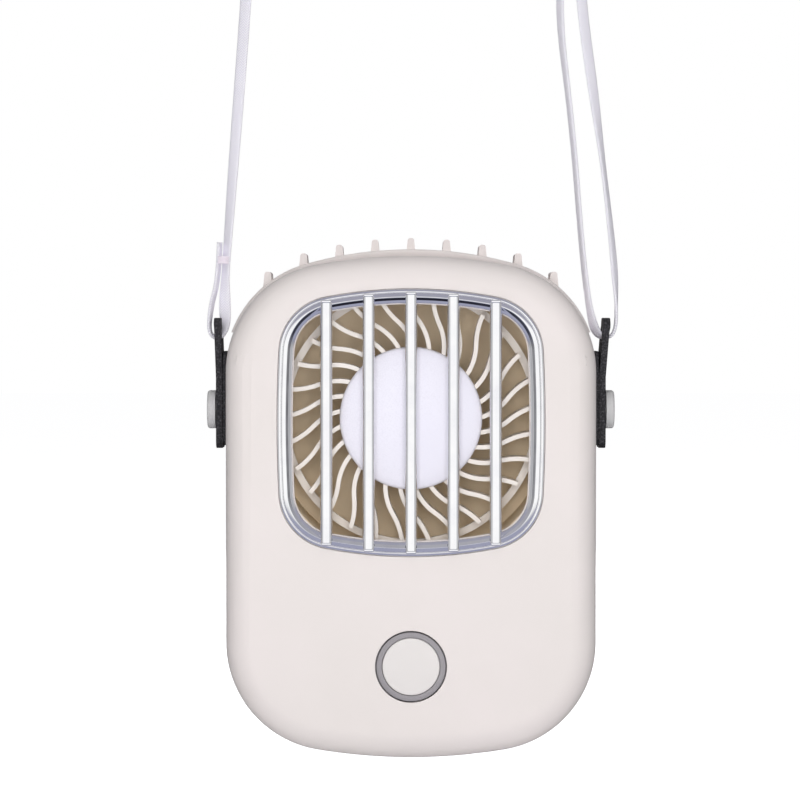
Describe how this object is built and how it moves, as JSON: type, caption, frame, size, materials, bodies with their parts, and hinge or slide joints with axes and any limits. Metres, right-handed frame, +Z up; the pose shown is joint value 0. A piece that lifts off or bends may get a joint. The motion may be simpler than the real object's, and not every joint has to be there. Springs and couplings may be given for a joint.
{
  "type": "electric neck fan",
  "caption": "Hanging neck fan: rounded cream housing with a barred chrome air inlet over a bladed impeller, a finned top outlet, a round power button and a cord on leather tabs.",
  "frame": {"origin": "where the taut cord rests on the neck: the underside of the cord's loop, in the plane of the cord and the strap studs", "axes": "+Z up along the hanging cord, -Y the front with the air inlet, +X to the right seen from the front"},
  "size_m": [0.0897, 0.0411, 0.2072],
  "materials": {
    "shell_cream": "satin moulded plastic, warm off-white",
    "hub_white": "glossy cool white plastic",
    "impeller_cream": "semi-gloss cream plastic",
    "duct_cream": "satin cream plastic",
    "grille_chrome": "bright plated trim",
    "button_cream": "satin plastic",
    "ring_grey": "satin warm grey plastic",
    "strap_black": "black grained synthetic leather",
    "stud_grey": "light grey moulded plastic",
    "cord_white": "white braided tape",
    "clamp_clear": "milky crimped sleeve",
    "motor_steel": "plain steel",
    "bearing_bronze": "sintered bronze and turned brass",
    "magnet_black": "bonded ferrite",
    "coil_copper": "enamelled copper wire",
    "board_green": "glass fibre circuit board with solder mask",
    "switch_black": "black moulded plastic",
    "socket_steel": "plated steel shell",
    "cell_foil": "foil pouch",
    "lead_red": "insulated wire pair in one sleeve"
  },
  "bodies": {
    "lanyard": {"neck_cord": "cord_white", "cord_clamp_left": "clamp_clear", "cord_clamp_right": "clamp_clear", "strap_tab_left": "strap_black", "strap_tab_right": "strap_black", "strap_pad_left": "strap_black", "strap_pad_right": "strap_black"},
    "housing": {"front_shell": "shell_cream", "rear_shell": "shell_cream", "outlet_strip": "shell_cream", "chrome_grille": "grille_chrome", "bearing_tube": "bearing_bronze", "front_bearing": "bearing_bronze", "rear_bearing": "bearing_bronze", "stator_core": "motor_steel", "stator_coils": "coil_copper", "motor_board": "board_green", "air_duct": "duct_cream", "button_ring": "ring_grey", "tact_switch": "switch_black", "main_board": "board_green", "charge_socket": "socket_steel", "battery_pack": "cell_foil", "housing_screws": "motor_steel", "strap_stud_left": "stud_grey", "strap_stud_right": "stud_grey", "strap_nut_left": "bearing_bronze", "strap_nut_right": "bearing_bronze", "motor_lead": "lead_red", "battery_lead": "lead_red"},
    "impeller": {"impeller": "impeller_cream", "hub_cap": "hub_white", "rotor_cup": "motor_steel", "magnet_ring": "magnet_black", "motor_shaft": "motor_steel"},
    "button": {"power_button": "button_cream", "switch_plunger": "switch_black"}
  },
  "joints": [
    {"name": "fan_swing", "type": "hinge", "parent": "lanyard", "child": "housing", "pos_m": [0, 0, -0.1325], "axis": [1, 0, 0], "range_deg": [-90, 90]},
    {"name": "impeller_spin", "type": "hinge", "parent": "housing", "child": "impeller", "pos_m": [0, 0, -0.134], "axis": [0, 1, 0], "continuous": true},
    {"name": "button_press", "type": "slide", "parent": "housing", "child": "button", "axis": [0, 1, 0], "range_m": [0, 0.0006], "stiffness_N_per_m": 2500}
  ]
}
